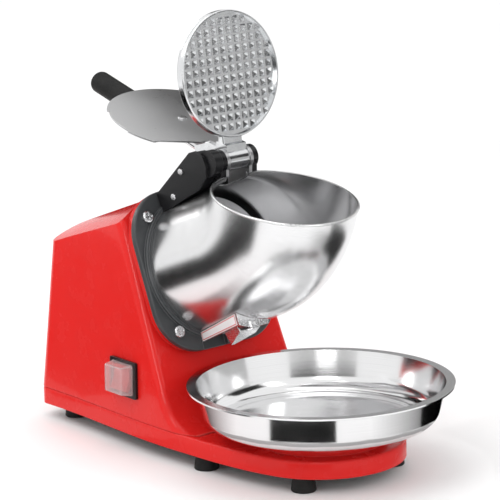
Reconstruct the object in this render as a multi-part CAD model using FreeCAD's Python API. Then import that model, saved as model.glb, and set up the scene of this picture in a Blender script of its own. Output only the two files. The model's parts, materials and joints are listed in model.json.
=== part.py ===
"""Electric shaved ice machine: a motor in an inclined red housing turns a blade disc at the foot of a
bent steel hopper. A lever carries the press plate, the handle and the lid, and a bowl stands in front.

Millimetres, +Z up, +X to the front (the bowl side), origin on the surface under the middle of the machine.
"""
import FreeCAD
import Part
import math
import os

V = FreeCAD.Vector
X_AXIS, Y_AXIS, Z_AXIS = V(1, 0, 0), V(0, 1, 0), V(0, 0, 1)

# ---- driving dimensions ----
DRIVE_TILT = 21.5          # motor and hopper axis above the horizontal, degrees
FOOT_HEIGHT = 13.1         # underside of the base above the table
SEAM_Z = 28.8              # parting line between base and housing
WALL = 3.0                 # moulded wall
GROOVE = 0.6               # width and depth of the seam's shadow line
REAR_X = -217.0            # rear face of the base
REAR_HALF = 64.0           # half width at the rear corners
REAR_CORNER = 12.0         # rear corner radius
WAIST_X, WAIST_HALF = -8.0, 79.5
NOSE_X, NOSE_R = 96.6, 72.5
NOSE_ANGLE = 75.0          # where the side curve meets the nose arc
HOUSING_FRONT_X = 19.5     # where the housing's front skirt meets the base
HOUSING_TOP_Z = 240.0      # height at which the tapering sides are laid out
SIDE_TAPER = 0.02          # inward lean of the side walls, mm per mm of height
REAR_LEAN = 0.156          # forward lean of the rear wall
CREASE_X, CREASE_Z = -103.0, 197.5   # a point of the crease between side wall and crown
CREASE_SLOPE = 20.0
CREASE_HALF = 66.0
CROWN_RISE = 15.5          # crown above the crease
FRONT_SETBACK = 10.5       # housing front face behind the blade housing's face
CUP_DEPTH = 26.0           # depth of the blade housing's cup behind its face
RIDGE_R = 7.0              # rounding of the housing's two front ridges

BOWL_X = 96.6
BOWL_R, BOWL_RIM_Z = 115.0, 77.7
BOWL_BASE_Z, BOWL_FOOT_R = 41.2, 62.0
SHEET = 0.9                # stainless sheet

ELBOW_X, ELBOW_Z, ELBOW_R = -11.85, 247.5, 70.0
TUBE_R = 63.0
TUBE_LENGTH = 68.0
MOUTH_TILT = 11.6          # the mouth plane falls to the front by this angle

PIVOT_X, PIVOT_Z = -9.5, 258.0
PIN_R = 4.0
RUN_GAP = 0.05             # radial clearance of a running fit
BARREL_R, BARREL_HALF = 9.5, 11.3
LUG_R, LUG_IN, LUG_MIDDLE, LUG_OUT = 10.5, 11.7, 14.9, 20.5
LEVER_CLOSE = 176.6        # lever travel, degrees

PLATE_X, PLATE_Z = -8.75, 333.1      # centre of the toothed face, lever open
PLATE_LEAN = 7.2
PLATE_R, PLATE_THICK, RIM = 55.0, 7.4, 2.2
TOOTH_PITCH, TOOTH_BASE, TOOTH_TIP, TOOTH_HEIGHT = 8.3, 6.8, 0.5, 2.6

SWITCH_X, SWITCH_Y, SWITCH_Z = -76.0, -75.15, 64.5
SWITCH_TURN = -4.6
SWITCH_HALF_X, SWITCH_HALF_Z = 19.5, 16.5

LID_ANGLE = 15.0           # lid plane above the horizontal, towards the rear
LID_R, LID_REACH, LID_THICK = 67.0, 71.0, 1.5
HANDLE_ANGLE = 17.2
GRIP_R, ROD_R = 10.0, 5.0

ORIGIN_SHIFT = 2.7          # brings the origin under the middle of the overall length

TILT = math.radians(DRIVE_TILT)
ALONG = V(math.cos(TILT), 0, math.sin(TILT))      # motor axis, towards the hopper
ACROSS = V(-math.sin(TILT), 0, math.cos(TILT))    # square to it, upwards


def box(x0, x1, y0, y1, z0, z1):
    return Part.makeBox(x1 - x0, y1 - y0, z1 - z0, V(x0, y0, z0))


def cylinder(radius, height, base, direction=Z_AXIS):
    return Part.makeCylinder(radius, height, base, direction)


def tube(outer, inner, height, base, direction=Z_AXIS):
    return cylinder(outer, height, base, direction).cut(cylinder(inner, height, base, direction))


def compound(shapes):
    return Part.makeCompound(shapes)


def polygon_xz(points, y0, y1):
    wire = Part.makePolygon([V(x, y0, z) for x, z in points + points[:1]])
    return Part.Face(wire).extrude(V(0, y1 - y0, 0))


ELBOW = V(ELBOW_X, 0, ELBOW_Z)
TUBE_END = ELBOW - ACROSS * ELBOW_R
FACE = TUBE_END - ALONG * TUBE_LENGTH             # centre of the blade housing's front face
PIVOT = V(PIVOT_X, 0, PIVOT_Z)


def on_drive(shape):
    """Place a shape drawn about +Z (local +X downwards) on the motor axis, origin at the housing face."""
    placed = shape.copy()
    placed.rotate(V(0, 0, 0), Y_AXIS, 90 - DRIVE_TILT)
    placed.translate(FACE)
    return placed


def drive_cylinder(radius, z0, z1, x=0.0, y=0.0):
    return on_drive(cylinder(radius, z1 - z0, V(x, y, z0)))


def rounded_slab(half_x, half_y, corner, z0, z1):
    slab = box(-half_x, half_x, -half_y, half_y, z0, z1)
    uprights = [e for e in slab.Edges if abs(e.Vertexes[0].Z - e.Vertexes[1].Z) > 0.5 * (z1 - z0)]
    return slab.makeFillet(corner, uprights)


def pan_screw(head_r, head_h, shank_r, length, base, direction):
    """Pan head at base pointing along direction, shank the other way."""
    head = cylinder(head_r, head_h, base, direction)
    head = head.makeFillet(head_h * 0.55, [head.Edges[0]])
    shank = cylinder(shank_r, length, base - direction * length, direction)
    return head.fuse(shank).removeSplitter()


# ---- base ----
def base_half_outline(inset):
    """Rear middle to nose tip along +Y, with the wall inset."""
    rear, half = REAR_X + inset, REAR_HALF - inset
    corner = REAR_CORNER - inset
    nose = NOSE_R - inset
    a = math.radians(NOSE_ANGLE)
    meet = V(NOSE_X + nose * math.cos(a), nose * math.sin(a), 0)
    arc_mid = V(rear + corner * (1 - math.sqrt(0.5)), half - corner * (1 - math.sqrt(0.5)), 0)
    start = V(rear + corner, half, 0)
    side = Part.BSplineCurve()
    side.interpolate(
        Points=[start, V(-120, 70.5 - inset, 0), V(WAIST_X, WAIST_HALF - inset, 0), meet],
        Tangents=[V(1, 0.02, 0), V(1, 0.12, 0), V(1, 0, 0), V(math.sin(a), -math.cos(a), 0)],
        TangentFlags=[True, False, True, True],
    )
    return [
        Part.makeLine(V(rear, 0, 0), V(rear, half - corner, 0)),
        Part.Arc(V(rear, half - corner, 0), arc_mid, start).toShape(),
        side.toShape(),
        Part.Arc(meet, V(NOSE_X + nose * math.cos(a / 2), nose * math.sin(a / 2), 0), V(NOSE_X + nose, 0, 0)).toShape(),
    ]


def base_face(inset, z):
    half = base_half_outline(inset)
    mirrored = [e.mirror(V(0, 0, 0), Y_AXIS) for e in half]
    wire = Part.Wire(Part.__sortEdges__(half + mirrored))
    wire.translate(V(0, 0, z))
    return Part.Face(wire)


FOOT_PLACES = [(-190.2, 41.0), (22.0, 67.0), (129.0, 52.0)]
FOOT_POINTS = [(x, side * y) for x, y in FOOT_PLACES for side in (-1, 1)]
HOUSING_SCREW_POINTS = [(-165.0, -46.0), (-165.0, 46.0), (-62.0, -58.0), (-62.0, 58.0)]


def base_tray():
    outer = base_face(0, FOOT_HEIGHT).extrude(V(0, 0, SEAM_Z - FOOT_HEIGHT))
    rim = [e for e in outer.Edges if min(v.Z for v in e.Vertexes) > SEAM_Z - 0.1 and e.BoundBox.XMin > 60]
    outer = outer.makeFillet(2.5, rim)
    inner = base_face(WALL, FOOT_HEIGHT - 1).extrude(V(0, 0, SEAM_Z - FOOT_HEIGHT + 1 - WALL))
    stand_top = BOWL_BASE_Z + SHEET
    stand = cylinder(BOWL_FOOT_R - 4, stand_top - SEAM_Z + WALL, V(BOWL_X, 0, SEAM_Z - WALL))
    stand = stand.makeFillet(3, [e for e in stand.Edges if e.BoundBox.ZMin > stand_top - 1 and len(e.Vertexes) == 1])
    stand = stand.cut(cylinder(BOWL_FOOT_R - 12, 4, V(BOWL_X, 0, stand_top - 3)))
    stand = stand.cut(cylinder(BOWL_FOOT_R - 7, stand_top - SEAM_Z - 3, V(BOWL_X, 0, SEAM_Z - WALL)))
    tray = outer.cut(inner).fuse(stand)
    bosses = [cylinder(4.5, SEAM_Z - FOOT_HEIGHT - 4, V(x, y, FOOT_HEIGHT + 3)) for x, y in FOOT_POINTS]
    tray = tray.fuse(bosses)
    holes = [cylinder(1.9, 12, V(x, y, FOOT_HEIGHT)) for x, y in FOOT_POINTS]
    holes += [cylinder(2.2, 20, V(x, y, SEAM_Z - WALL - 10)) for x, y in HOUSING_SCREW_POINTS]
    return tray.cut(holes + [seam_groove()]).removeSplitter()


def seam_groove():
    """Shadow line where the housing's wall stands on the base."""
    low = SEAM_Z - GROOVE
    band = base_face(-1.0, low).extrude(V(0, 0, 1)).cut(base_face(GROOVE, low).extrude(V(0, 0, 1)))
    return band.common(box(REAR_X - 5, HOUSING_FRONT_X - 2, -100, 100, low - 1, SEAM_Z + 1))


def base_plate():
    plate = base_face(WALL + 0.3, FOOT_HEIGHT).extrude(V(0, 0, 2.6))
    cuts = [cylinder(2.2, 6, V(x, y, FOOT_HEIGHT - 1)) for x, y in FOOT_POINTS]
    for i in range(7):
        x = -150.0 + 12.0 * i
        cuts.append(box(x, x + 4, -28, 28, FOOT_HEIGHT - 1, FOOT_HEIGHT + 4))
    return plate.cut(cuts)


def feet():
    made = []
    for x, y in FOOT_POINTS:
        cone = Part.makeCone(11.0, 9.3, FOOT_HEIGHT - 0.1, V(x, y, 0))
        cone = cone.makeFillet(1.2, [e for e in cone.Edges if e.BoundBox.ZMax < 0.1])
        cone = cone.cut(cylinder(5.0, 5.0, V(x, y, -0.5)))
        made.append(cone.cut(cylinder(2.1, 20, V(x, y, 0))))
    return compound(made)


def foot_screws():
    return compound([pan_screw(4.2, 2.4, 1.85, 17.5, V(x, y, 4.4), V(0, 0, -1)) for x, y in FOOT_POINTS])


# ---- housing ----
POST_HEIGHT = 18.0
GLAND_DIR = V(-1, 0, REAR_LEAN).normalize()       # square to the leaning rear wall
GLAND_Y, GLAND_Z = 20.0, 49.0
GLAND_BASE = V(REAR_X + REAR_LEAN * (GLAND_Z - SEAM_Z) - 0.05, GLAND_Y, GLAND_Z)


def housing_section(inset, z, lean_in, lean_rear):
    """Plan section of the tapered housing body: rounded rear corners, bowed sides, open front end."""
    rear = REAR_X + inset + lean_rear
    half = REAR_HALF - inset - lean_in * 0.45
    corner = REAR_CORNER - inset
    front = HOUSING_FRONT_X + 40
    k = 1 - math.sqrt(0.5)
    start = V(rear + corner, half, z)
    side = Part.BSplineCurve()
    side.interpolate(
        Points=[start, V(-120, 70.5 - inset - lean_in * 0.8, z), V(WAIST_X, WAIST_HALF - inset - lean_in, z),
                V(front, WAIST_HALF - 3.0 - inset - lean_in, z)],
    )
    half_edges = [
        Part.makeLine(V(rear, 0, z), V(rear, half - corner, z)),
        Part.Arc(V(rear, half - corner, z), V(rear + corner * k, half - corner * k, z), start).toShape(),
        side.toShape(),
        Part.makeLine(V(front, WAIST_HALF - 3.0 - inset - lean_in, z), V(front, 0, z)),
    ]
    mirrored = [e.mirror(V(0, 0, 0), Y_AXIS) for e in half_edges]
    return Part.Wire(Part.__sortEdges__(half_edges + mirrored))


def housing_profile(inset):
    """Side view cut to shape: crowned top line, rounded front corner, sloping front face, concave skirt."""
    slope = math.radians(CREASE_SLOPE)
    top_dir = V(math.cos(slope), 0, math.sin(slope))
    front_dir = ACROSS * -1
    front_point = FACE - ALONG * (FRONT_SETBACK + inset)
    foot_x = HOUSING_FRONT_X - 6.0 * inset
    ridge = V(CREASE_X, 0, CREASE_Z + CROWN_RISE / math.cos(slope) - inset)
    # corner where the ridge line meets the front plane
    gap = front_point - ridge
    cross = top_dir.x * front_dir.z - top_dir.z * front_dir.x
    t = (gap.x * front_dir.z - gap.z * front_dir.x) / cross
    corner = ridge + top_dir * t
    round_r = 26.0 - inset
    back_off = round_r * math.tan(math.radians((90 - DRIVE_TILT + CREASE_SLOPE) / 2.0))
    arc_start = corner - top_dir * back_off
    arc_end = corner + front_dir * back_off
    centre = arc_start + V(math.sin(slope), 0, -math.cos(slope)) * round_r
    to_corner = (corner - centre).normalize()
    arc_mid = centre + to_corner * round_r
    # skirt: an arc that leaves the sloping front face and runs out level at the base
    skirt = ((foot_x - front_point.x) * ALONG.x + (SEAM_Z - front_point.z) * ALONG.z) / (1 - ALONG.z)
    skirt_centre = V(foot_x, 0, SEAM_Z + skirt)
    touch = skirt_centre - ALONG * skirt
    low = V(foot_x, 0, SEAM_Z)
    mid = skirt_centre - (ALONG + Z_AXIS).normalize() * skirt
    rear_top = ridge - top_dir * 160
    low_edge = V(foot_x, 0, SEAM_Z - 2)
    rear_low = V(REAR_X - 60, 0, SEAM_Z - 2)
    edges = [
        Part.makeLine(rear_low, V(REAR_X - 60, 0, rear_top.z)),
        Part.makeLine(V(REAR_X - 60, 0, rear_top.z), rear_top),
        Part.makeLine(rear_top, arc_start),
        Part.Arc(arc_start, arc_mid, arc_end).toShape(),
        Part.makeLine(arc_end, touch),
        Part.Arc(touch, mid, low).toShape(),
        Part.makeLine(low, low_edge),
        Part.makeLine(low_edge, rear_low),
    ]
    face = Part.Face(Part.Wire(Part.__sortEdges__(edges)))
    face.translate(V(0, -150, 0))
    return face.extrude(V(0, 300, 0))


def crown_body(inset):
    """Long bar along the top slope whose upper side is a shallow arc between the two creases."""
    radius = (CREASE_HALF ** 2 + CROWN_RISE ** 2) / (2 * CROWN_RISE)
    slope = math.radians(CREASE_SLOPE)
    top_dir = V(math.cos(slope), 0, math.sin(slope))
    up_dir = V(-math.sin(slope), 0, math.cos(slope))
    crease = V(CREASE_X, 0, CREASE_Z)
    axis_point = crease + up_dir * (CROWN_RISE - radius)
    return cylinder(radius - inset, 500, axis_point - top_dir * 250, top_dir)


def housing_solid(inset):
    height = HOUSING_TOP_Z - SEAM_Z
    body = Part.makeLoft([
        housing_section(inset, SEAM_Z, 0, 0),
        housing_section(inset, HOUSING_TOP_Z, SIDE_TAPER * height, REAR_LEAN * height),
    ], True, True)
    return body.common(housing_profile(inset)).common(crown_body(inset))


def neck(inset, z0, z1):
    """Raised rounded-square neck on the housing's front that carries the blade housing."""
    low = rounded_slab(71.5 - inset, 68 - inset, 41 - inset, z0, z0 + 0.1)
    high = rounded_slab(70 - inset, 66.5 - inset, 40 - inset, z1 - 0.1, z1)
    low_wire = max(low.Faces, key=lambda f: -f.CenterOfMass.z).OuterWire
    high_wire = max(high.Faces, key=lambda f: f.CenterOfMass.z).OuterWire
    return on_drive(Part.makeLoft([low_wire, high_wire], True, True))


def housing_shell():
    outer = housing_solid(0)
    ridges = []
    for e in outer.Edges:
        b = e.BoundBox
        if b.XMin > -120 and b.YLength < 30 and min(abs(b.YMin), abs(b.YMax)) > 50 and b.ZMax > SEAM_Z + 5:
            ridges.append(e)
    outer = outer.makeFillet(RIDGE_R, ridges)
    shell = outer.fuse(neck(0, -FRONT_SETBACK - 2, -5.0))
    inner = housing_solid(WALL)
    shell = shell.cut(inner)
    shell = shell.cut(drive_cylinder(54.0, -FRONT_SETBACK - 12, 0))
    shell = shell.cut(on_switch(switch_frame(SWITCH_HALF_X - 2.9, SWITCH_HALF_Z - 2.9, 12, 12)))
    shell = shell.cut(cylinder(6.1, 30, GLAND_BASE - GLAND_DIR * 20, GLAND_DIR))
    posts = [cylinder(5.0, POST_HEIGHT, V(x, y, SEAM_Z)) for x, y in HOUSING_SCREW_POINTS]
    ribs = [box(x - 1.5, x + 1.5, min(y, 2 * y), max(y, 2 * y), SEAM_Z, SEAM_Z + POST_HEIGHT)
            for x, y in HOUSING_SCREW_POINTS]
    shell = shell.fuse(posts + [rib.common(outer) for rib in ribs])
    return shell.cut([cylinder(1.9, 16, V(x, y, SEAM_Z - 1)) for x, y in HOUSING_SCREW_POINTS])


def housing_screws():
    return compound([pan_screw(4.2, 2.4, 1.85, 15, V(x, y, SEAM_Z - WALL - 0.1), V(0, 0, -1))
                     for x, y in HOUSING_SCREW_POINTS])


# ---- switch on the near side wall ----
def on_switch(shape):
    """Place a shape drawn on the XZ plane, outward = -Y, on the leaning side wall."""
    placed = shape.copy()
    placed.rotate(V(0, 0, 0), X_AXIS, -math.degrees(math.atan(SIDE_TAPER)))
    placed.rotate(V(0, 0, 0), Z_AXIS, SWITCH_TURN)
    placed.translate(V(SWITCH_X, SWITCH_Y, SWITCH_Z))
    return placed


def switch_frame(half_x, half_z, depth_in, depth_out):
    return box(-half_x, half_x, -depth_out, depth_in, -half_z, half_z)


def switch_bezel():
    flange = switch_frame(SWITCH_HALF_X, SWITCH_HALF_Z, 0, 2.4)
    flange = flange.makeFillet(1.6, [e for e in flange.Edges if e.BoundBox.YLength > 1])
    barrel = switch_frame(SWITCH_HALF_X - 3, SWITCH_HALF_Z - 3, WALL + 2, 0)
    hole = switch_frame(SWITCH_HALF_X - 6.0, SWITCH_HALF_Z - 4.6, WALL + 4, 4)
    return on_switch(flange.fuse(barrel).cut(hole))


def switch_body():
    body = switch_frame(SWITCH_HALF_X - 6.0, SWITCH_HALF_Z - 4.7, 24, -4.0)
    tags = [box(x - 0.4, x + 0.4, 22, 30, -3.2, 3.2) for x in (-6, 0, 6)]
    return on_switch(body.fuse(tags))


def switch_boot():
    """Clear weather boot over the rocker, narrower at its outer face."""
    def frustum(shrink, depth):
        base_x, base_z = SWITCH_HALF_X - 4.0 - shrink, SWITCH_HALF_Z - 2.6 - shrink
        face_x, face_z = base_x - 2.4, base_z - 1.6
        low = [V(-base_x, 0, -base_z), V(base_x, 0, -base_z), V(base_x, 0, base_z), V(-base_x, 0, base_z)]
        high = [V(-face_x, -depth, -face_z), V(face_x, -depth, -face_z), V(face_x, -depth, face_z),
                V(-face_x, -depth, face_z)]
        return Part.makeLoft([Part.makePolygon(low + low[:1]), Part.makePolygon(high + high[:1])], True, True)
    outer = frustum(0.0, 10.5)
    outer = outer.makeFillet(1.8, [e for e in outer.Edges if e.BoundBox.YMin < -10])
    boot = outer.cut(frustum(1.0, 9.5))
    boot.translate(V(0, -2.5, 0))
    return on_switch(boot)


def rocker():
    """Rocker cap on two short pivot pins, tilted so that its lower half stands out (off)."""
    half_x, half_z = SWITCH_HALF_X - 8.0, SWITCH_HALF_Z - 5.8
    points = [(-0.6, half_z), (-3.4, half_z - 0.8), (-3.6, 0.0), (-7.6, -half_z + 0.8), (-4.6, -half_z), (2.6, 0.0)]
    wire = Part.makePolygon([V(-half_x, y, z) for y, z in points + points[:1]])
    cap = Part.Face(wire).extrude(V(2 * half_x, 0, 0))
    pins = Part.makeCylinder(1.5, 2 * half_x + 2.4, V(-half_x - 1.2, 0, 0), X_AXIS)
    return on_switch(cap.fuse(pins))


def cord_gland():
    """Rubber grommet for the mains lead, low in the rear wall."""
    base = GLAND_BASE
    lip = cylinder(8.0, 2.4, base, GLAND_DIR)
    lip = lip.makeFillet(1.2, [e for e in lip.Edges if e.BoundBox.XMax < base.x - 0.8])
    sleeve = cylinder(6.0, 8.0, base - GLAND_DIR * 8.0, GLAND_DIR)
    return lip.fuse(sleeve).cut(cylinder(4.2, 20, base - GLAND_DIR * 9, GLAND_DIR)).removeSplitter()


# ---- blade housing, hopper ----
SCREW_SPOTS = [(-52.0, -50.0), (-52.0, 50.0), (52.0, -50.0), (52.0, 50.0)]   # local x down, y across
BRACKET_SCREW_X, BRACKET_SCREW_YS = -68.0, (-5.8, 5.8)


def blade_housing():
    plate = rounded_slab(72.5, 69.0, 42, -5.0, 0.0)
    plate = plate.makeFillet(1.5, [e for e in plate.Edges if e.BoundBox.ZMin > -0.01])
    ring = tube(66.5, TUBE_R + 0.15, 3.0, V(0, 0, 0))
    cup = cylinder(53.6, CUP_DEPTH - 5, V(0, 0, -CUP_DEPTH)).cut(
        cylinder(50.0, CUP_DEPTH, V(0, 0, -CUP_DEPTH + 4)))
    body = plate.fuse([ring, cup]).cut(cylinder(50.0, 40, V(0, 0, -CUP_DEPTH + 4)))
    hub = cylinder(20.0, CUP_DEPTH - 6, V(0, 0, -CUP_DEPTH))
    body = body.fuse(hub)
    cuts = [cylinder(11.0, 9.0, V(0, 0, -CUP_DEPTH)), cylinder(8.0, 60, V(0, 0, -CUP_DEPTH - 5)),
            cylinder(10.0, 5.2, V(0, 0, -11.0))]
    cuts += [cylinder(2.3, 20, V(x, y, -10)) for x, y in SCREW_SPOTS]
    cuts += [cylinder(2.2, 20, V(BRACKET_SCREW_X, y, -10)) for y in BRACKET_SCREW_YS]
    cuts.append(box(44, 90, -27, 1, -4.0, 6.0))
    return on_drive(body.cut(cuts).removeSplitter())


def blade_housing_screws():
    screws = []
    for x, y in SCREW_SPOTS:
        screw = pan_screw(5.5, 3.4, 2.1, 4.6, V(x, y, 0.05), Z_AXIS)
        slot = box(x - 4.0, x + 4.0, y - 0.6, y + 0.6, 2.4, 4)
        cross = box(x - 0.6, x + 0.6, y - 4.0, y + 4.0, 2.4, 4)
        screws.append(screw.cut([slot, cross]))
    return on_drive(compound(screws))


def elbow_pipe(radius, extra=0.0, overrun=0.0):
    """Straight run and bent run of the hopper as one solid rod, longer at either end as asked (mm, degrees)."""
    start = TUBE_END - ALONG * (TUBE_LENGTH + extra)
    straight = cylinder(radius, TUBE_LENGTH + extra, start, ALONG)
    disc = Part.Face(Part.Wire(Part.makeCircle(radius, TUBE_END, ALONG)))
    bend = disc.revolve(ELBOW, Y_AXIS, -(90 - DRIVE_TILT - MOUTH_TILT + overrun))
    return straight.fuse(bend)


MOUTH = V(ELBOW_X + ELBOW_R * math.cos(math.radians(MOUTH_TILT)), 0,
          ELBOW_Z - ELBOW_R * math.sin(math.radians(MOUTH_TILT)))
MOUTH_UP = V(math.sin(math.radians(MOUTH_TILT)), 0, math.cos(math.radians(MOUTH_TILT)))
MOUTH_FRONT = V(math.cos(math.radians(MOUTH_TILT)), 0, -math.sin(math.radians(MOUTH_TILT)))


def mouth_bead(radius):
    """Rolled edge round the hopper's mouth."""
    centre = MOUTH + MOUTH_FRONT * (TUBE_R + 0.3) - MOUTH_UP * 0.9
    return Part.Face(Part.Wire(Part.makeCircle(radius, centre, Y_AXIS))).revolve(MOUTH, MOUTH_UP, 360)


def hopper():
    """Bent stainless tube, with a slot at the back of the mouth for the press arm and an ice outlet below."""
    shell = elbow_pipe(TUBE_R).fuse(mouth_bead(1.1)).cut(elbow_pipe(TUBE_R - SHEET, 5.0, 2.0))
    arm_slot = polygon_xz([(-33, 221), (-33, 256), (16, 256), (16, 224)], -ARM_SLOT_HALF, ARM_SLOT_HALF)
    outlet = on_drive(box(40, 70, -25, -1, 3.6, 17))
    return shell.cut([arm_slot, outlet]).removeSplitter()


ARM_SLOT_HALF = 12.3


# ---- hinge of the lever on top of the hopper ----
def off_tube(shape, gap=0.0):
    return shape.cut(elbow_pipe(TUBE_R + gap, 5.0))


def off_ring(shape):
    """Clear the raised ring of the blade housing."""
    return shape.cut(drive_cylinder(66.9, -10, 3.3))


def pivot_eyes(inner, outer, gap):
    """A pair of eyes round the pin on legs that stand on the hopper, between two distances from the middle."""
    eyes = []
    for y0 in (-outer, inner):
        y1 = y0 + outer - inner
        eye = Part.makeCylinder(LUG_R, y1 - y0, V(PIVOT_X, y0, PIVOT_Z), Y_AXIS)
        leg = polygon_xz([(PIVOT_X + 8.6, PIVOT_Z + 6.0), (-1.5, 246.0), (-1.5, 236), (-30, 226), (-30, 241),
                          (PIVOT_X - 9.0, PIVOT_Z + 5.5)], y0, y1)
        lug = off_tube(eye.fuse(leg), gap).cut(mouth_bead(1.3))
        lug = lug.cut(cylinder(PIN_R + RUN_GAP, 60, V(PIVOT_X, -30, PIVOT_Z), Y_AXIS))
        eyes.append(max(lug.Solids, key=lambda s: s.Volume))
    return compound(eyes)


def hinge_lugs():
    """Steel lugs welded to the hopper."""
    return pivot_eyes(LUG_IN, LUG_MIDDLE, 0.0)


def hinge_bosses():
    """Black cast bosses that back up the steel lugs on their outer sides."""
    return pivot_eyes(LUG_MIDDLE + 0.1, LUG_OUT, 0.3)


def pivot_bracket():
    """Black cast arm from the blade housing up to the lugs: two webs on the hopper, joined by a foot."""
    side = [(-78.0, 206.0), (-76.5, 226.0), (-42.0, 252.0), (-30.2, 250.0), (-30.2, 226.0), (-30.2, 215.0)]
    webs = [polygon_xz(side, -LUG_OUT, -LUG_IN), polygon_xz(side, LUG_IN, LUG_OUT)]
    foot = on_drive(box(-72.0, -63.0, -LUG_OUT, LUG_OUT, 0.0, 8.0))
    body = off_ring(off_tube(webs[0].fuse([webs[1], foot]), 0.3))
    body = body.common(on_drive(box(-120, 20, -60, 60, 0.05, 200)))
    body = body.cut([drive_cylinder(2.2, -10, 20, BRACKET_SCREW_X, y) for y in BRACKET_SCREW_YS])
    return body.removeSplitter()


def bracket_screws():
    return on_drive(compound([pan_screw(3.6, 2.2, 2.1, 12.5, V(BRACKET_SCREW_X, y, 8.05), Z_AXIS)
                              for y in BRACKET_SCREW_YS]))


COVER_OUTLINE = [(-75.0, 223.2), (-30.0, 265.5), (-22.0, 268.0), (-12.5, 264.0), (-7.5, 255.0), (-8.0, 246.0),
                 (-17.5, 234.5), (-67.4, 207.3)]


def cover_solid(shrink, y0, y1):
    outline = Part.Wire(Part.makePolygon([V(x, y0, z) for x, z in COVER_OUTLINE + COVER_OUTLINE[:1]]))
    face = Part.Face(outline)
    if shrink:
        face = face.makeOffset2D(-shrink)
        face = face if face.ShapeType == "Face" else Part.Face(face.Wires[0])
    return face.extrude(V(0, y1 - y0, 0))


def switch_box():
    """Black box on the near side of the bracket: holds the lid interlock switch and the cam chamber."""
    chamber = cylinder(11.5, 9.0, V(PIVOT_X, -29.8, PIVOT_Z), Y_AXIS)
    outer = off_ring(off_tube(cover_solid(0.6, -31.0, -LUG_OUT - 0.3).fuse(chamber), 0.3))
    pocket = cover_solid(3.0, -31.5, -LUG_OUT - 2.3)
    pocket = pocket.cut(polygon_xz([(-90, 190), (-90, 226), (-52, 226), (-52, 190)], -40, 0))
    body = outer.cut([pocket, cylinder(9.2, 5.8, V(PIVOT_X, -28.6, PIVOT_Z), Y_AXIS),
                      cylinder(5.6, 8, V(PIVOT_X, -28, PIVOT_Z), Y_AXIS)])
    return body.removeSplitter()


def switch_cover():
    plate = cover_solid(0.0, -33.2, -31.0)
    plate = plate.makeFillet(0.8, [e for e in plate.Edges if e.BoundBox.YMax < -33.1])
    plate = off_ring(off_tube(plate, 0.5))
    return plate.cut([cylinder(1.6, 6, V(x, -34, z), Y_AXIS) for x, z in COVER_SCREWS])


COVER_SCREWS = [(-40.4, 247.7), (-50.9, 224.0)]


def switch_cover_screws():
    return compound([pan_screw(2.9, 1.8, 1.5, 2.0, V(x, -33.25, z), V(0, -1, 0)) for x, z in COVER_SCREWS])


def microswitch():
    """Interlock switch standing behind the cam, its button towards the pin."""
    body = box(-29.5, -20.0, -29.8, -23.6, 241.0, 260.5)
    body = body.cut(cylinder(1.0, 10, V(-25, -31, 245), Y_AXIS))
    return body.cut(cylinder(1.3 + RUN_GAP, 6, V(-25.0, -26.7, PLUNGER_Z), X_AXIS))


def microswitch_plunger():
    return cylinder(1.3, 5.0, V(-22.4, -26.7, PLUNGER_Z), X_AXIS)


PLUNGER_Z = PIVOT_Z - 0.5


# ---- ice outlet guard ----
GUARD_NEAR, GUARD_SPAN, GUARD_REACH = -28.0, 30.0, 68.0
GUARD_TURN = 8.1           # the guard swings out from the motor axis, degrees
GUARD_SHEET = 1.4
GUARD_SCREW = V(63.6, GUARD_NEAR + 15.0, 0)


def guard_plate(points, y0, y1):
    wire = Part.makePolygon([V(x, y0, z) for x, z in points + points[:1]])
    return Part.Face(wire).extrude(V(0, y1 - y0, 0))


def on_guard(shape):
    """Place a shape drawn like the blade housing's parts, swung outwards and trimmed to the hopper and the face."""
    placed = shape.copy()
    placed.rotate(V(0, GUARD_NEAR, 0), X_AXIS, GUARD_TURN)
    placed = off_ring(off_tube(on_drive(placed), 0.3))
    return placed.common(on_drive(box(40, 120, -60, 60, 0.05, 120)))


def ice_guard():
    """Folded sheet round the outlet: a side plate on each side and a front plate under the hopper."""
    y0, y1 = GUARD_NEAR, GUARD_NEAR + GUARD_SPAN
    near = guard_plate([(45, -1), (66.2, -1), (61.8, GUARD_REACH), (45, GUARD_REACH)], y0, y0 + GUARD_SHEET)
    far = guard_plate([(45, -8), (66.2, -8), (66.5, GUARD_REACH), (45, GUARD_REACH)], y1 - GUARD_SHEET, y1)
    z = GUARD_REACH - GUARD_SHEET
    outline = [V(45, y0, z), V(61.8, y0, z), V(66.5, y0 + 11.0, z), V(66.5, y1, z), V(45, y1, z), V(45, y0, z)]
    front = Part.Face(Part.makePolygon(outline)).extrude(V(0, 0, GUARD_SHEET))
    body = near.fuse([far, front]).cut(cylinder(1.0, 10, GUARD_SCREW + Z_AXIS * (GUARD_REACH - 6)))
    return on_guard(body.removeSplitter())


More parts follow.
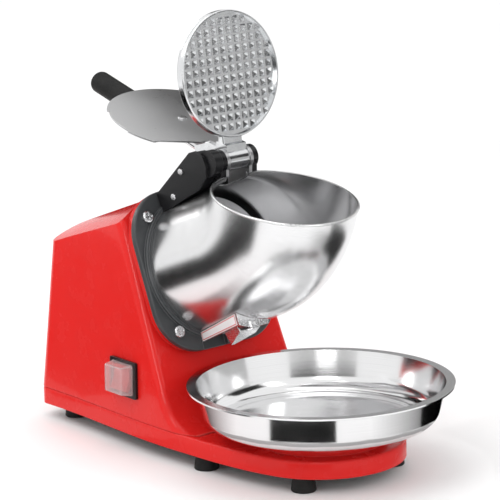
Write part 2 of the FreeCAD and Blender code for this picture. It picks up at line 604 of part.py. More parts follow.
def ice_deflector():
    """Sloping lip with one cheek below the guard that throws the ice down into the bowl."""
    y0, y1 = GUARD_NEAR, GUARD_NEAR + 20.0
    top, thick, drop, reach = GUARD_REACH - 2.0, 1.2, 19.0, 9.4
    lip = guard_plate([(66.9, top), (66.9 + thick, top), (66.9 + reach, top - drop), (65.7 + reach, top - drop)],
                      y0, y1)
    cheek = guard_plate([(64.2, 41.0), (63.0, top - 2.0), (66.9, top), (65.7 + reach, top - drop)], y0, y0 + thick)
    taper = Part.makePolygon([V(77.5, y0 - 1, 0), V(90, y0 - 1, 0), V(90, y1 + 1, 0), V(71.0, y1 + 1, 0),
                              V(77.5, y0 - 1, 0)])
    body = lip.fuse(cheek).cut(Part.Face(taper).extrude(V(0, 0, GUARD_REACH)))
    tab_z0, tab_z1 = GUARD_REACH + 0.05, GUARD_REACH + 0.05 + thick
    tab = box(60.9, 68.1, GUARD_SCREW.y - 4, GUARD_SCREW.y + 4, tab_z0, tab_z1)
    tab = tab.fuse(box(66.9, 68.1, GUARD_SCREW.y - 4, GUARD_SCREW.y + 4, top - 1.0, tab_z1))
    body = body.fuse(tab).cut(cylinder(1.0, 10, GUARD_SCREW + Z_AXIS * (GUARD_REACH - 6)))
    return on_guard(body.removeSplitter())


def guard_label():
    points = [(57.2, 3.0), (65.3, 3.0), (61.4, GUARD_REACH - 3.0), (51.6, GUARD_REACH - 3.0)]
    return on_guard(guard_plate(points, GUARD_NEAR - 0.35, GUARD_NEAR - 0.02))


def guard_screw():
    return on_guard(pan_screw(2.4, 1.6, 0.9, 3.5, GUARD_SCREW + Z_AXIS * (GUARD_REACH + 1.3), Z_AXIS))


# ---- motor ----
MOTOR_R, MOTOR_LENGTH = 37.0, 84.0
MOTOR_FRONT = -CUP_DEPTH - 0.1
MOTOR_REAR = MOTOR_FRONT - MOTOR_LENGTH


def motor_front_bell():
    bell = cylinder(MOTOR_R, 12.0, V(0, 0, MOTOR_FRONT - 12.0)).cut(cylinder(MOTOR_R - 3, 8.5, V(0, 0, MOTOR_FRONT - 12.0)))
    bell = bell.cut([cylinder(11.0 + 0.0, 20, V(0, 0, MOTOR_FRONT - 15))])
    bell = bell.cut([cylinder(2.2, 20, V(28 * math.cos(a), 28 * math.sin(a), MOTOR_FRONT - 15)) for a in MOTOR_BOLTS])
    return on_drive(bell)


MOTOR_BOLTS = [math.radians(45 + 90 * i) for i in range(4)]


def motor_can():
    return on_drive(tube(MOTOR_R, MOTOR_R - 2.5, MOTOR_LENGTH - 24, V(0, 0, MOTOR_REAR + 12)))


def motor_rear_bell():
    bell = cylinder(MOTOR_R, 12.0, V(0, 0, MOTOR_REAR)).cut(cylinder(MOTOR_R - 3, 8.5, V(0, 0, MOTOR_REAR + 3.5)))
    seat = tube(14.0, 8.0, 8.0, V(0, 0, MOTOR_REAR))
    bell = bell.cut(cylinder(8.0, 20, V(0, 0, MOTOR_REAR - 2))).fuse(seat)
    vents = [cylinder(3.2, 10, V(24 * math.cos(a), 24 * math.sin(a), MOTOR_REAR - 1)) for a in
             [math.radians(30 + 60 * i) for i in range(6)]]
    return on_drive(bell.cut(vents).removeSplitter())


def motor_screws():
    made = []
    for a in MOTOR_BOLTS:
        spot = V(28 * math.cos(a), 28 * math.sin(a), MOTOR_FRONT - 3.6)
        made.append(pan_screw(3.6, 2.0, 2.0, 3.4, spot, V(0, 0, -1)))
    return on_drive(compound(made))


SHAFT_R = 5.0


def bearing(radius, z0, width):
    return on_drive(tube(radius, SHAFT_R + 0.04, width, V(0, 0, z0)))


def front_bearing():
    return bearing(10.95, -CUP_DEPTH + 0.2, 8.6)


def rear_bearing():
    return bearing(7.95, MOTOR_REAR + 0.2, 7.6)


def shaft_seal():
    return bearing(9.95, -10.9, 4.8)


def rectifier_board():
    """Supply board for the direct-current motor, on two rails on the base deck."""
    rails = [box(-162, -122, y, y + 4, SEAM_Z, SEAM_Z + 3.0) for y in (-22.0, 18.0)]
    board = box(-164, -120, -24, 24, SEAM_Z + 3.0, SEAM_Z + 4.6)
    bridge = box(-152, -138, -8, 8, SEAM_Z + 4.6, SEAM_Z + 12.0)
    return board.fuse(rails + [bridge])


# ---- drive: everything that turns with the motor ----
DISC_Z0, DISC_Z1 = 18.0, 21.0


def motor_shaft():
    shaft = cylinder(SHAFT_R, DISC_Z0 - MOTOR_REAR - 1.0, V(0, 0, MOTOR_REAR + 1.0))
    thread = cylinder(3.9, 10.5, V(0, 0, DISC_Z0))
    return on_drive(shaft.fuse(thread).removeSplitter())


def rotor():
    core = tube(24.0, SHAFT_R, 36.0, V(0, 0, MOTOR_REAR + 24))
    slots = [box(20.5, 26, -1.4, 1.4, -1, 120) for _ in range(12)]
    for i, slot in enumerate(slots):
        slot.rotate(V(0, 0, 0), Z_AXIS, 30 * i)
        slot.translate(V(0, 0, MOTOR_REAR))
    core = core.cut(slots)
    commutator = tube(9.0, SHAFT_R, 10.0, V(0, 0, MOTOR_REAR + 14))
    return on_drive(core.fuse(commutator).removeSplitter())


def cooling_fan():
    hub = tube(8.0, SHAFT_R, 7.0, V(0, 0, MOTOR_FRONT - 21.0))
    blades = []
    for i in range(8):
        blade = box(7.0, 31.0, -0.8, 0.8, MOTOR_FRONT - 21.0, MOTOR_FRONT - 14.0)
        blade.rotate(V(0, 0, MOTOR_FRONT - 17), X_AXIS, 24)
        blade.rotate(V(0, 0, 0), Z_AXIS, 45 * i)
        blades.append(blade)
    disc = tube(31.0, SHAFT_R, 1.2, V(0, 0, MOTOR_FRONT - 22.2))
    return on_drive(disc.fuse([hub] + blades).removeSplitter())


DISC_R = 57.0
BLADE_TURNS = (20.0, 200.0)


def blade_disc():
    disc = tube(DISC_R, 3.9, DISC_Z1 - DISC_Z0, V(0, 0, DISC_Z0))
    cuts = []
    for turn in BLADE_TURNS:
        slot = box(13.0, 50.0, 1.0, 9.0, DISC_Z0 - 1, DISC_Z1 + 1)
        holes = [cylinder(1.5, 10, V(x, -5.5, DISC_Z0 - 2)) for x in (21.0, 42.0)]
        for cut in [slot] + holes:
            cut.rotate(V(0, 0, 0), Z_AXIS, turn)
            cuts.append(cut)
    return on_drive(disc.cut(cuts))


def blades():
    made = []
    for turn in BLADE_TURNS:
        points = [(-11.0, 0.05), (-11.0, 1.6), (1.0, 1.6), (4.0, 0.9), (2.0, 0.05)]
        wire = Part.makePolygon([V(13.0, y, DISC_Z1 + z) for y, z in points + points[:1]])
        blade = Part.Face(wire).extrude(V(37.0, 0, 0))
        blade = blade.cut([cylinder(1.6, 8, V(x, -5.5, DISC_Z1 - 2)) for x in (21.0, 42.0)])
        blade.rotate(V(0, 0, 0), Z_AXIS, turn)
        made.append(blade)
    return on_drive(compound(made))


def blade_screws():
    made = []
    for turn in BLADE_TURNS:
        for x in (21.0, 42.0):
            screw = pan_screw(3.0, 1.6, 1.45, 4.4, V(x, -5.5, DISC_Z1 + 1.65), Z_AXIS)
            screw.rotate(V(0, 0, 0), Z_AXIS, turn)
            made.append(screw)
    return on_drive(compound(made))


def blade_nut():
    points = [V(8.0 * math.cos(math.radians(60 * i)), 8.0 * math.sin(math.radians(60 * i)), DISC_Z1 + 0.05)
              for i in range(7)]
    nut = Part.Face(Part.makePolygon(points)).extrude(V(0, 0, 6.5))
    cap = cylinder(7.0, 9.5, V(0, 0, DISC_Z1 + 0.05))
    cap = cap.makeFillet(3.0, [e for e in cap.Edges if e.BoundBox.ZMin > DISC_Z1 + 9])
    return on_drive(nut.fuse(cap).cut(cylinder(3.95, 9.2, V(0, 0, DISC_Z1 - 1))))


# ---- lever ----
PLATE_NORMAL = V(math.cos(math.radians(PLATE_LEAN)), 0, math.sin(math.radians(PLATE_LEAN)))
PLATE_UP = V(-math.sin(math.radians(PLATE_LEAN)), 0, math.cos(math.radians(PLATE_LEAN)))
PLATE_CENTRE = V(PLATE_X, 0, PLATE_Z)


def on_plate(shape):
    """Place a shape drawn with +X out of the toothed face and +Z up the plate."""
    placed = shape.copy()
    placed.rotate(V(0, 0, 0), Y_AXIS, -PLATE_LEAN)
    placed.translate(PLATE_CENTRE)
    return placed


def tooth(y, z):
    low = [V(-0.3, y + s * TOOTH_BASE / 2, z + t * TOOTH_BASE / 2) for s, t in ((-1, -1), (1, -1), (1, 1), (-1, 1))]
    high = [V(TOOTH_HEIGHT, y + s * TOOTH_TIP / 2, z + t * TOOTH_TIP / 2)
            for s, t in ((-1, -1), (1, -1), (1, 1), (-1, 1))]
    return Part.makeLoft([Part.makePolygon(low + low[:1]), Part.makePolygon(high + high[:1])], True, True)


def press_plate():
    """Cast disc with a raised rim and a square grid of blunt pyramids sunk inside the rim."""
    depth = TOOTH_HEIGHT
    disc = cylinder(PLATE_R, PLATE_THICK, V(-PLATE_THICK, 0, 0), X_AXIS)
    disc = disc.makeFillet(1.2, [e for e in disc.Edges if len(e.Vertexes) == 1])
    disc = disc.cut(cylinder(PLATE_R - RIM, depth + 1, V(-depth, 0, 0), X_AXIS))
    teeth = []
    count = int(PLATE_R / TOOTH_PITCH) + 1
    well = cylinder(PLATE_R - RIM + 0.2, 20, V(-10, 0, 0), X_AXIS)
    for i in range(-count, count + 1):
        for j in range(-count, count + 1):
            y, z = (i + 0.5) * TOOTH_PITCH, (j + 0.5) * TOOTH_PITCH
            if math.hypot(y, z) < PLATE_R - RIM + 1.0:
                one = tooth(y, z)
                one.translate(V(-depth, 0, 0))
                whole = math.hypot(y, z) < PLATE_R - RIM - TOOTH_BASE
                teeth.append(one if whole else one.common(well))
    plate = disc.fuse(teeth)
    plate = plate.cut([cylinder(2.0, 4, V(-PLATE_THICK - 0.5, y, z), X_AXIS) for y, z in PLATE_SCREWS])
    return on_plate(plate)


PLATE_SCREWS = [(0.0, -28.0), (0.0, -8.0)]
STRAP_HALF, STRAP_THICK = 11.3, 7.0


def press_arm():
    """Cast arm: barrel on the pivot pin, strap up the back of the press plate, boss towards the handle."""
    barrel = Part.makeCylinder(BARREL_R, 2 * BARREL_HALF, V(PIVOT_X, -BARREL_HALF, PIVOT_Z), Y_AXIS)
    strap = on_plate(box(-PLATE_THICK - STRAP_THICK, -PLATE_THICK - 0.02, -STRAP_HALF, STRAP_HALF, -70.0, 4.0))
    strap = strap.makeFillet(1.5, [e for e in strap.Edges if e.BoundBox.YLength < 0.1 and e.BoundBox.ZLength > 50])
    boss = polygon_xz([(PIVOT_X + 5.0, PIVOT_Z + 14.0), (PIVOT_X + 6.0, PIVOT_Z - 2.0), (PIVOT_X - 8.0, PIVOT_Z - 5.0),
                       (-45.0, 258.4), (-47.5, 266.5), (-30.0, 271.5), (-20.0, 275.0)], -BARREL_HALF, BARREL_HALF)
    body = barrel.fuse([strap, boss])
    body = body.cut(cylinder(PIN_R, 60, V(PIVOT_X, -30, PIVOT_Z), Y_AXIS))
    body = body.cut(cylinder(ROD_R, 40, HANDLE_START, HANDLE_DIR))
    body = body.cut([on_plate(cylinder(2.2, 20, V(-PLATE_THICK - 15, y, z), X_AXIS)) for y, z in PLATE_SCREWS])
    lid_seat = on_lid(box(12.0, 60.0, -20, 20, LID_TOP - LID_THICK - 0.02, LID_TOP + 10))
    return body.cut(lid_seat).removeSplitter()


def press_arm_screws():
    made = []
    for y, z in PLATE_SCREWS:
        spot = V(-PLATE_THICK - STRAP_THICK - 0.05, y, z)
        made.append(on_plate(pan_screw(4.0, 2.2, 1.9, 9.6, spot, V(-1, 0, 0))))
    return compound(made)


HANDLE_DIR = V(-math.cos(math.radians(HANDLE_ANGLE)), 0, math.sin(math.radians(HANDLE_ANGLE)))
HANDLE_POINT = V(-186.0, 0, 305.2)
HANDLE_START = HANDLE_POINT - HANDLE_DIR * 154.0
GRIP_LENGTH = 100.0


def handle_rod():
    return cylinder(ROD_R - 0.02, 120.0, HANDLE_START + HANDLE_DIR * 0.1, HANDLE_DIR)


def handle_grip():
    """Rubber grip with a domed end and shallow finger rings."""
    length = GRIP_LENGTH
    half = [V(ROD_R, 0, 0), V(GRIP_R - 1.5, 0, 0), V(GRIP_R, 0, 2.0), V(GRIP_R, 0, length - 7.0)]
    edges = [Part.makeLine(a, b) for a, b in zip(half[:-1], half[1:])]
    edges.append(Part.Arc(half[-1], V(GRIP_R - 2.0, 0, length - 2.0), V(GRIP_R - 7.0, 0, length)).toShape())
    edges.append(Part.makeLine(V(GRIP_R - 7.0, 0, length), V(0, 0, length)))
    edges.append(Part.makeLine(V(0, 0, length), V(0, 0, length - 12.0)))
    edges.append(Part.makeLine(V(0, 0, length - 12.0), V(ROD_R, 0, length - 12.0)))
    edges.append(Part.makeLine(V(ROD_R, 0, length - 12.0), V(ROD_R, 0, 0)))
    grip = Part.Face(Part.Wire(Part.__sortEdges__(edges))).revolve(V(0, 0, 0), Z_AXIS, 360)
    grip.rotate(V(0, 0, 0), Y_AXIS, -(90 - HANDLE_ANGLE))
    grip.translate(HANDLE_POINT + HANDLE_DIR * (9.0 - GRIP_LENGTH))
    return grip


LID_OUT = V(-math.cos(math.radians(LID_ANGLE)), 0, math.sin(math.radians(LID_ANGLE)))
LID_NORMAL = V(math.sin(math.radians(LID_ANGLE)), 0, math.cos(math.radians(LID_ANGLE)))
LID_TOP = (PIVOT - MOUTH).dot(MOUTH_UP) - 0.5      # lid's upper face above the pivot; it meets the mouth when closed


def on_lid(shape):
    """Place a shape drawn with +X from the pivot to the lid's far end and +Z out of its upper face."""
    placed = shape.copy()
    placed.rotate(V(0, 0, 0), Z_AXIS, 180)
    placed.rotate(V(0, 0, 0), Y_AXIS, LID_ANGLE)
    placed.translate(PIVOT)
    return placed


def lid():
    """Flat steel disc: straight rear edges beside the lugs, a tab to the arm, a shallow step in each side."""
    z0 = LID_TOP - LID_THICK
    disc = cylinder(LID_R, LID_THICK, V(LID_REACH, 0, z0))
    edge = Part.makePolygon([V(0, 30, z0 - 1), V(23, 20, z0 - 1), V(38.5, 54, z0 - 1), V(38.5, 90, z0 - 1),
                             V(0, 90, z0 - 1), V(0, 30, z0 - 1)])
    far_cut = Part.Face(edge).extrude(V(0, 0, 5))
    near_cut = far_cut.mirror(V(0, 0, 0), Y_AXIS)
    disc = disc.cut([far_cut, near_cut, box(-5, 23, -90, 90, z0 - 1, z0 + 4)])
    steps = []
    for side in (-1, 1):
        ring = tube(LID_R + 3, LID_R - 1.8, 6, V(LID_REACH, 0, z0 - 2))
        wedge = Part.makePolygon([V(LID_REACH, 0, z0 - 2), V(LID_REACH + 68, side * 97, z0 - 2),
                                  V(LID_REACH - 10, side * 117, z0 - 2), V(LID_REACH, 0, z0 - 2)])
        steps.append(ring.common(Part.Face(wedge).extrude(V(0, 0, 6))))
    disc = disc.cut(steps)
    tab = box(12.0, 30.0, -9.0, 9.0, z0, z0 + LID_THICK)
    disc = disc.fuse(tab).cut(cylinder(2.1, 10, V(LID_REACH, 0, z0 - 3)))
    disc = disc.removeSplitter()
    return on_lid(disc)


def lid_standoff():
    """Spacer between the handle rod and the middle of the lid, saddled over the rod."""
    post = on_lid(cylinder(6.0, 11.0, V(LID_REACH, 0, LID_TOP - LID_THICK - 11.05)))
    rod = cylinder(ROD_R, 400, HANDLE_START - HANDLE_DIR * 100, HANDLE_DIR)
    post = post.cut(rod)
    return post.cut(on_lid(cylinder(2.0, 9, V(LID_REACH, 0, LID_TOP - LID_THICK - 8))))


def lid_screw():
    screw = pan_screw(4.2, 0.9, 1.95, 8.0, V(LID_REACH, 0, LID_TOP + 0.02), Z_AXIS)
    return on_lid(screw)


def pivot_pin():
    """Pin that turns with the lever, with a flat head on the far side."""
    pin = cylinder(PIN_R, 47.0, V(PIVOT_X, -25.9, PIVOT_Z), Y_AXIS)
    head = cylinder(7.0, 3.0, V(PIVOT_X, LUG_OUT + 0.4, PIVOT_Z), Y_AXIS)
    head = head.makeFillet(1.0, [e for e in head.Edges if e.BoundBox.YMin > LUG_OUT + 3])
    return pin.fuse(head).removeSplitter()


def switch_cam():
    """Cam on the near end of the pin, inside the switch box; its nose meets the button when closed."""
    hub = cylinder(5.2, 4.6, V(PIVOT_X, -27.8, PIVOT_Z), Y_AXIS)
    nose = box(PIVOT_X, PIVOT_X + 7.4, -27.8, -23.2, PIVOT_Z - 1.8, PIVOT_Z + 1.8)
    return hub.fuse(nose).cut(cylinder(PIN_R, 20, V(PIVOT_X, -25.9, PIVOT_Z), Y_AXIS)).removeSplitter()


# ---- bowl ----
def bowl():
    """Shallow stainless bowl: flat base, rounded corner, slightly flared wall, flat rolled lip."""
    t = SHEET
    z0, z1 = BOWL_BASE_Z + SHEET + 0.05, BOWL_RIM_Z
    corner_r, wall_low = 16.0, 102.5
    outer = [V(0, 0, z0), V(wall_low - corner_r, 0, z0)]
    flare = math.radians(80)
    bend = V(wall_low - corner_r + corner_r * math.sin(flare), 0, z0 + corner_r * (1 - math.cos(flare)))
    mid = V(wall_low - corner_r + corner_r * math.sin(flare / 2), 0, z0 + corner_r * (1 - math.cos(flare / 2)))
    inner_mid = mid + V(-math.sin(flare / 2), 0, math.cos(flare / 2)) * t
    inner_bend = bend + V(-math.sin(flare), 0, math.cos(flare)) * t
    lip_in = V(BOWL_R - 7.0, 0, z1 - t)
    edges = [
        Part.makeLine(outer[0], outer[1]),
        Part.Arc(outer[1], mid, bend).toShape(),
        Part.makeLine(bend, lip_in),
        Part.makeLine(lip_in, V(BOWL_R, 0, z1 - t - 0.6)),
        Part.makeLine(V(BOWL_R, 0, z1 - t - 0.6), V(BOWL_R, 0, z1)),
        Part.makeLine(V(BOWL_R, 0, z1), lip_in + V(-t, 0, t)),
        Part.makeLine(lip_in + V(-t, 0, t), inner_bend),
        Part.Arc(inner_bend, inner_mid, outer[1] + V(0, 0, t)).toShape(),
        Part.makeLine(outer[1] + V(0, 0, t), V(0, 0, z0 + t)),
        Part.makeLine(V(0, 0, z0 + t), outer[0]),
    ]
    solid = Part.Face(Part.Wire(Part.__sortEdges__(edges))).revolve(V(0, 0, 0), Z_AXIS, 360)
    solid.translate(V(BOWL_X, 0, 0))
    return solid


NODES = [
    base_tray, base_plate, feet, foot_screws, housing_shell, housing_screws,
    switch_bezel, switch_body, switch_boot, rocker, cord_gland, blade_housing,
    blade_housing_screws, hopper, hinge_lugs, hinge_bosses, pivot_bracket, bracket_screws, switch_box,
    switch_cover, switch_cover_screws, microswitch, microswitch_plunger, ice_guard, ice_deflector,
    guard_label, guard_screw, motor_front_bell, motor_can, motor_rear_bell, motor_screws,
    front_bearing, rear_bearing, shaft_seal, rectifier_board, motor_shaft, rotor,
    cooling_fan, blade_disc, blades, blade_screws, blade_nut, press_plate,
    press_arm, press_arm_screws, handle_rod, handle_grip, lid, lid_standoff,
    lid_screw, pivot_pin, switch_cam, bowl,
]


def main():
    os.makedirs("parts", exist_ok=True)
    for make in NODES:
        shape = make()
        shape.translate(V(ORIGIN_SHIFT, 0, 0))
        b = shape.BoundBox
        print(make.__name__, len(shape.Solids), shape.isValid(), round(shape.Volume / 1000, 1),
              [round(v, 1) for v in (b.XMin, b.XMax, b.YMin, b.YMax, b.ZMin, b.ZMax)])
        shape.exportStep("parts/" + make.__name__ + ".step")


if __name__ == "__main__":
    main()
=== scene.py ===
"""Shaved ice machine in a plain studio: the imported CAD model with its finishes, lamps and camera."""
import bpy
import json
import math
from mathutils import Matrix, Vector


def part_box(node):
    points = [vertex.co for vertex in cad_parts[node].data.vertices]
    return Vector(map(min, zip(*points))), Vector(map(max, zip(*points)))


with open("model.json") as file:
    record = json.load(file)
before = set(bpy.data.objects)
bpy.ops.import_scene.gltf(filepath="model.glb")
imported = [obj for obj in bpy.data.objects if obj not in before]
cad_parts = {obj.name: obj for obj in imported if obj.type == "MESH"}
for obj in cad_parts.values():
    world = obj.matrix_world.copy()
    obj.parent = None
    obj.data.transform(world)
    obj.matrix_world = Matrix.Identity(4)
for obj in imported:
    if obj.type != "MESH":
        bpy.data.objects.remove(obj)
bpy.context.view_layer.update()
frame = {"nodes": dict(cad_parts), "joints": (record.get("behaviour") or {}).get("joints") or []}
nodes = frame["nodes"]
scene = bpy.context.scene

# The drive axis and the centre of the blade housing's face, from the joint the motor turns on.
DRIVE = next(j for j in frame["joints"] if j["name"] == "drive_spin")
FACE = Vector(DRIVE["pos_m"])
ALONG = Vector(DRIVE["axis"]).normalized()
DOWN = Vector((ALONG.z, 0, -ALONG.x))
PIVOT = Vector(next(j for j in frame["joints"] if j["name"] == "lever_hinge")["pos_m"])

EDGE_SAMPLES = 4
CRISP_ANGLE = 28                    # degrees between two faces above which their edge stays sharp
WELD_REACH = 0.000002
FADE_STEPS = 14
FLOOR_CARD_HEIGHT = 0.002
BACK_CARD_X = -0.29

# The tube bends about a line a little behind and below the lever's pivot.
BEND = PIVOT + Vector((-0.00235, 0, -0.0105))

# The label's outline: its ends along the drive axis, and its two edges, which slope towards each other.
LABEL_START, LABEL_END = 0.003, 0.0645
LABEL_TOP, LABEL_TOP_SLOPE = 0.0572, 5.6 / 62
LABEL_FOOT, LABEL_FOOT_SLOPE = 0.0653, 3.9 / 62


# ---- node helpers ----
class Finish:
    """A material with one Principled shader and short calls for the nodes that feed it."""

    def __init__(self, name, color, roughness, metallic=0.0, **sockets):
        self.material = bpy.data.materials.new(name)
        self.material.use_nodes = True
        self.tree = self.material.node_tree
        self.shader = self.tree.nodes["Principled BSDF"]
        self.shader.inputs["Base Color"].default_value = (*color, 1)
        self.shader.inputs["Roughness"].default_value = roughness
        self.shader.inputs["Metallic"].default_value = metallic
        for key, value in sockets.items():
            self.shader.inputs[key.replace("_", " ")].default_value = value
        self.normal = None

    def add(self, kind, **inputs):
        node = self.tree.nodes.new("ShaderNode" + kind)
        for key, value in inputs.items():
            socket = node.inputs[key.replace("_", " ")]
            if isinstance(value, bpy.types.NodeSocket):
                self.tree.links.new(value, socket)
            else:
                socket.default_value = value
        return node

    def math(self, operation, a, b=0.0, c=0.0):
        node = self.tree.nodes.new("ShaderNodeMath")
        node.operation = operation
        for socket, value in zip(node.inputs, (a, b, c)):
            if isinstance(value, bpy.types.NodeSocket):
                self.tree.links.new(value, socket)
            else:
                socket.default_value = value
        return node.outputs[0]

    def dot(self, vector, direction, origin):
        """Distance of a point from origin along direction, in metres."""
        moved = self.tree.nodes.new("ShaderNodeVectorMath")
        moved.operation = "SUBTRACT"
        self.tree.links.new(vector, moved.inputs[0])
        moved.inputs[1].default_value = origin
        product = self.tree.nodes.new("ShaderNodeVectorMath")
        product.operation = "DOT_PRODUCT"
        self.tree.links.new(moved.outputs[0], product.inputs[0])
        product.inputs[1].default_value = direction
        return product.outputs["Value"]

    def place(self):
        return self.add("TexCoord").outputs["Object"]

    def noise(self, scale, detail=2.0, vector=None, roughness=0.5):
        node = self.add("TexNoise", Scale=scale, Detail=detail, Roughness=roughness)
        self.tree.links.new(vector or self.place(), node.inputs["Vector"])
        return node.outputs["Fac"]

    def span(self, value, low, high, from_low=0.3, from_high=0.7):
        node = self.tree.nodes.new("ShaderNodeMapRange")
        self.tree.links.new(value, node.inputs["Value"])
        limits = {"From Min": from_low, "From Max": from_high, "To Min": low, "To Max": high}
        for key, number in limits.items():
            node.inputs[key].default_value = number
        return node.outputs["Result"]

    def blend(self, factor, a, b):
        node = self.tree.nodes.new("ShaderNodeMix")
        node.data_type = "RGBA"
        self.tree.links.new(factor, node.inputs["Factor"])
        for socket, value in ((node.inputs[6], a), (node.inputs[7], b)):
            if isinstance(value, bpy.types.NodeSocket):
                self.tree.links.new(value, socket)
            else:
                socket.default_value = (*value, 1)
        return node.outputs[2]

    def rounded(self, radius):
        """Softens the look of sharp edges."""
        node = self.add("Bevel", Radius=radius)
        node.samples = EDGE_SAMPLES
        self.normal = node.outputs["Normal"]
        return self

    def edge(self, radius):
        """1 on edges, 0 on open faces."""
        bevel = self.add("Bevel", Radius=radius)
        bevel.samples = EDGE_SAMPLES
        product = self.tree.nodes.new("ShaderNodeVectorMath")
        product.operation = "DOT_PRODUCT"
        self.tree.links.new(bevel.outputs["Normal"], product.inputs[0])
        self.tree.links.new(self.add("NewGeometry").outputs["Normal"], product.inputs[1])
        return self.span(product.outputs["Value"], 1.0, 0.0, 0.75, 0.99)

    def bump(self, height, strength, distance):
        node = self.add("Bump", Strength=strength, Distance=distance, Height=height)
        if self.normal is not None:
            self.tree.links.new(self.normal, node.inputs["Normal"])
        self.normal = node.outputs["Normal"]
        return self

    def color(self, socket):
        self.tree.links.new(socket, self.shader.inputs["Base Color"])
        return self

    def rough(self, socket):
        self.tree.links.new(socket, self.shader.inputs["Roughness"])
        return self

    def done(self):
        if self.normal is not None:
            self.tree.links.new(self.normal, self.shader.inputs["Normal"])
        return self.material


# ---- finishes ----
def red_gloss():
    f = Finish("red_gloss", (0.60, 0.012, 0.011), 0.26,
               Specular_IOR_Level=0.1, Coat_Weight=0.22, Coat_Roughness=0.05)
    f.rounded(0.0012)
    tone = f.blend(f.span(f.noise(9.0, 3), 0, 1), (0.66, 0.014, 0.012), (0.69, 0.018, 0.016))
    # Edges blended lighter and pinker: a painted highlight along the ridges.
    painted_edge_highlight = f.math("MULTIPLY", f.edge(0.0016), 0.22)
    f.color(f.blend(painted_edge_highlight, tone, (0.80, 0.20, 0.18)))
    f.rough(f.span(f.noise(60.0, 6), 0.22, 0.30))
    return f.bump(f.noise(700.0, 2), 0.04, 0.0002).done()


def dark_casting():
    f = Finish("dark_casting", (0.04, 0.043, 0.046), 0.34,
               Specular_IOR_Level=0.35, Coat_Weight=0.1, Coat_Roughness=0.3)
    f.rounded(0.001)
    tone = f.blend(f.span(f.noise(25.0, 4), 0, 1), (0.038, 0.041, 0.044), (0.054, 0.057, 0.060))
    # Edges blended lighter grey: partly edge wear, partly a painted highlight along the flange edges.
    f.color(f.blend(f.edge(0.002), tone, (0.16, 0.165, 0.17)))
    f.rough(f.span(f.noise(300.0, 4), 0.28, 0.42))
    return f.bump(f.noise(1800.0, 3), 0.18, 0.0002).done()


def black_paint():
    f = Finish("black_paint", (0.008, 0.008, 0.009), 0.3, Specular_IOR_Level=0.35)
    f.rounded(0.0008)
    f.color(f.blend(f.edge(0.0012), (0.007, 0.007, 0.008), (0.035, 0.035, 0.037)))
    f.rough(f.span(f.noise(200.0, 4), 0.22, 0.38))
    return f.bump(f.noise(1500.0, 3), 0.15, 0.0002).done()


def black_moulding():
    f = Finish("black_moulding", (0.008, 0.008, 0.009), 0.33, Specular_IOR_Level=0.35)
    f.rounded(0.0007)
    f.color(f.blend(f.edge(0.0012), (0.007, 0.007, 0.008), (0.03, 0.03, 0.032)))
    f.rough(f.span(f.noise(120.0, 5), 0.27, 0.43))
    return f.bump(f.noise(2500.0, 2), 0.10, 0.0001).done()


def rubber():
    f = Finish("rubber", (0.008, 0.008, 0.008), 0.55, Specular_IOR_Level=0.22)
    f.rounded(0.0006)
    f.color(f.blend(f.span(f.noise(80.0, 5), 0, 1), (0.006, 0.006, 0.006), (0.013, 0.0125, 0.012)))
    f.rough(f.span(f.noise(500.0, 4), 0.45, 0.68))
    return f.bump(f.noise(1600.0, 4), 0.3, 0.0003).done()


def tube_steel():
    """Satin stainless sheet, brushed round the tube: the lines turn with the bend."""
    f = Finish("tube_steel", (0.78, 0.78, 0.785), 0.2, 1.0)
    f.rounded(0.0004)
    place = f.place()
    split = f.add("SeparateXYZ")
    f.tree.links.new(place, split.inputs[0])
    above = f.math("SUBTRACT", split.outputs[2], BEND.z)
    ahead = f.math("SUBTRACT", split.outputs[0], BEND.x)
    turn = f.math("MULTIPLY", f.math("ARCTAN2", above, ahead), 220.0)
    across = f.math("MULTIPLY", split.outputs[1], 25.0)
    lines = f.add("CombineXYZ", X=turn, Y=across)
    grain = f.noise(4.0, 4, lines.outputs[0], 0.7)
    f.color(f.blend(f.span(grain, 0, 1), (0.62, 0.62, 0.625), (0.92, 0.92, 0.925)))
    f.rough(f.span(grain, 0.17, 0.27))
    f.bump(grain, 0.12, 0.0001)
    return f.bump(f.noise(2200.0, 2), 0.12, 0.00006).done()


def spun_steel(name, color, low, high, centre, scale, bump):
    """Spun sheet: fine rings about an upright axis."""
    f = Finish(name, color, low, 1.0)
    f.rounded(0.0004)
    split = f.add("SeparateXYZ")
    f.tree.links.new(f.place(), split.inputs[0])
    x = f.math("SUBTRACT", split.outputs[0], centre[0])
    y = f.math("SUBTRACT", split.outputs[1], centre[1])
    radius = f.math("SQRT", f.math("ADD", f.math("MULTIPLY", x, x), f.math("MULTIPLY", y, y)))
    height = f.math("MULTIPLY", split.outputs[2], scale)
    rings = f.add("CombineXYZ", X=f.math("MULTIPLY", radius, scale), Y=height)
    grain = f.noise(1.0, 3, rings.outputs[0], 0.6)
    smears = f.noise(18.0, 4)
    mixed = f.math("ADD", f.math("MULTIPLY", grain, 0.6), f.math("MULTIPLY", smears, 0.4))
    f.rough(f.span(mixed, low, high))
    f.color(f.blend(f.span(grain, 0, 1), tuple(c * 0.95 for c in color), tuple(c * 1.03 for c in color)))
    return f.bump(grain, bump, 0.00005).done()


def plain_steel(name, color, low, high):
    f = Finish(name, color, low, 1.0)
    f.rounded(0.0005)
    grain = f.noise(900.0, 3)
    f.color(f.blend(f.span(f.noise(40.0, 4), 0, 1), tuple(c * 0.9 for c in color), color))
    f.rough(f.span(grain, low, high))
    return f.bump(grain, 0.08, 0.00008).done()


def cast_aluminium():
    f = Finish("cast_aluminium", (0.70, 0.71, 0.72), 0.2, 1.0)
    f.color(f.blend(f.span(f.noise(70.0, 5), 0, 1), (0.68, 0.69, 0.70), (0.78, 0.79, 0.80)))
    f.rough(f.span(f.noise(150.0, 4), 0.15, 0.22))
    return f.bump(f.noise(900.0, 3), 0.05, 0.00005).done()


